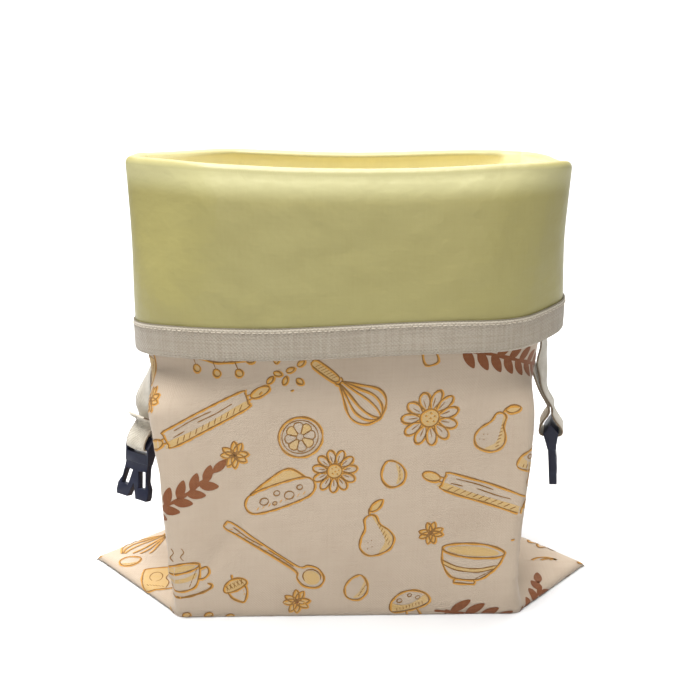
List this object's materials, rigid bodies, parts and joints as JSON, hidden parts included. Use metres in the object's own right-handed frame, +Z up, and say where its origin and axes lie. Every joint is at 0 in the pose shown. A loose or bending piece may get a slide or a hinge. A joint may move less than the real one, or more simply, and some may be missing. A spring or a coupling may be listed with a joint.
{
  "type": "linen bread bag",
  "caption": "Standing cloth bread bag with a box bottom, coated lining turned down as a deep cuff, bound edge and side straps with buckle plugs.",
  "frame": {"origin": "middle of the bag's footprint, on the surface that it stands on", "axes": "+Z up, +X along the mouth to the front view's right, the front faces -Y"},
  "size_m": [0.3, 0.1215, 0.2477],
  "materials": {
    "printed_linen": "plain woven natural linen, printed in ochre, amber and brown",
    "coated_lining": "pale yellow coated cloth with a soft gloss",
    "linen_tape": "coarse linen tape, stitched",
    "cotton_webbing": "undyed twill webbing",
    "buckle_plastic": "dark navy moulded plastic"
  },
  "bodies": {
    "root": {"outer_cloth": "printed_linen", "lining": "coated_lining", "binding": "linen_tape", "plug_left": "buckle_plastic", "plug_right": "buckle_plastic", "strap_left": "cotton_webbing", "strap_right": "cotton_webbing"}
  },
  "joints": []
}
